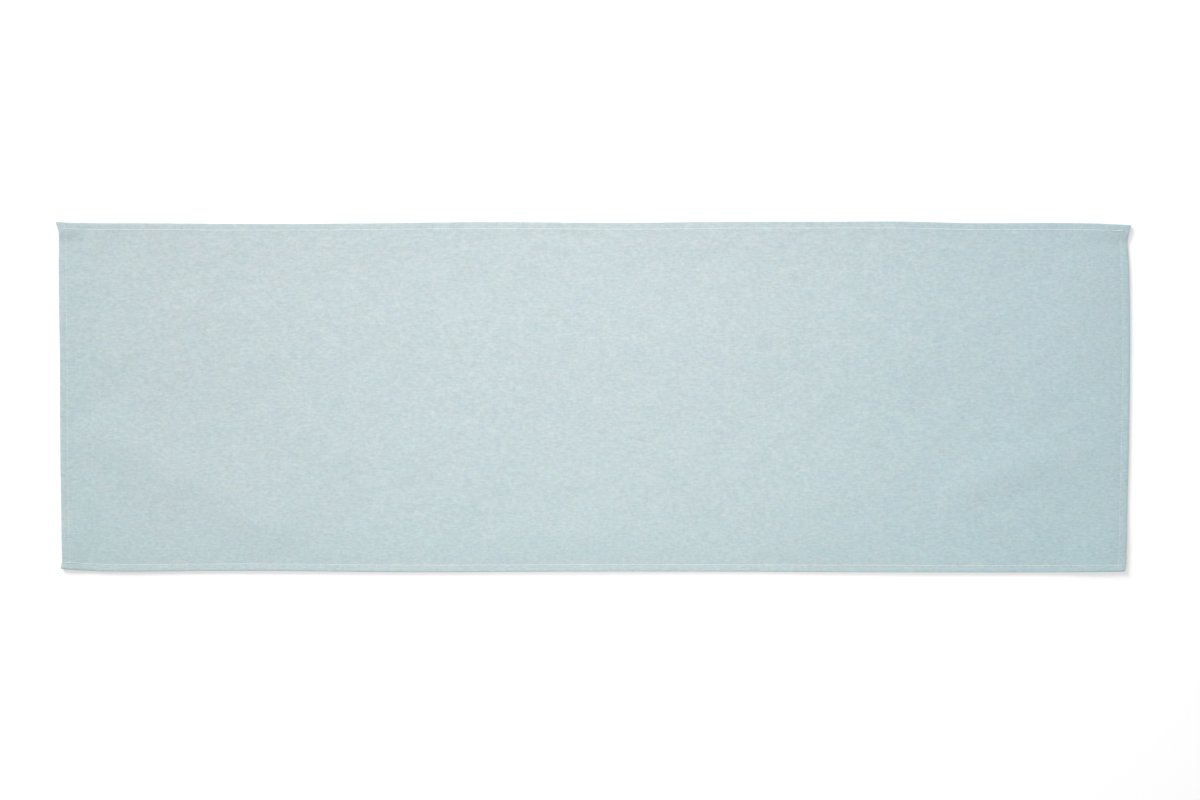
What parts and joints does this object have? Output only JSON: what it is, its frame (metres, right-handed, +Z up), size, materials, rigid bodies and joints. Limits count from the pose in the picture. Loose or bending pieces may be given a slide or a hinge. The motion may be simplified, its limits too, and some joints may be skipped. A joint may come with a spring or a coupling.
{
  "type": "table runner",
  "caption": "Long woven cotton table runner lying flat, pale sky blue, with narrow double-turned hems held by off-white lockstitch seams.",
  "frame": {"origin": "middle of the runner's overall box, on the plane of the table that it lies on", "axes": "+X along the runner's length, from its left end to its right end, +Y to its back long edge, +Z up, out of its face"},
  "size_m": [1.3882, 0.45, 0.0066],
  "materials": {
    "cloth_face": "matte",
    "cloth_hem": "matte",
    "sewing_thread": "matte"
  },
  "bodies": {
    "root": {"cloth_panel": "cloth_face", "long_hem_back": "cloth_hem", "long_hem_front": "cloth_hem", "end_hem_left": "cloth_hem", "end_hem_right": "cloth_hem", "needle_thread_back": "sewing_thread", "needle_thread_front": "sewing_thread", "needle_thread_left": "sewing_thread", "needle_thread_right": "sewing_thread", "bobbin_thread_back": "sewing_thread", "bobbin_thread_front": "sewing_thread", "bobbin_thread_left": "sewing_thread", "bobbin_thread_right": "sewing_thread"}
  },
  "joints": []
}
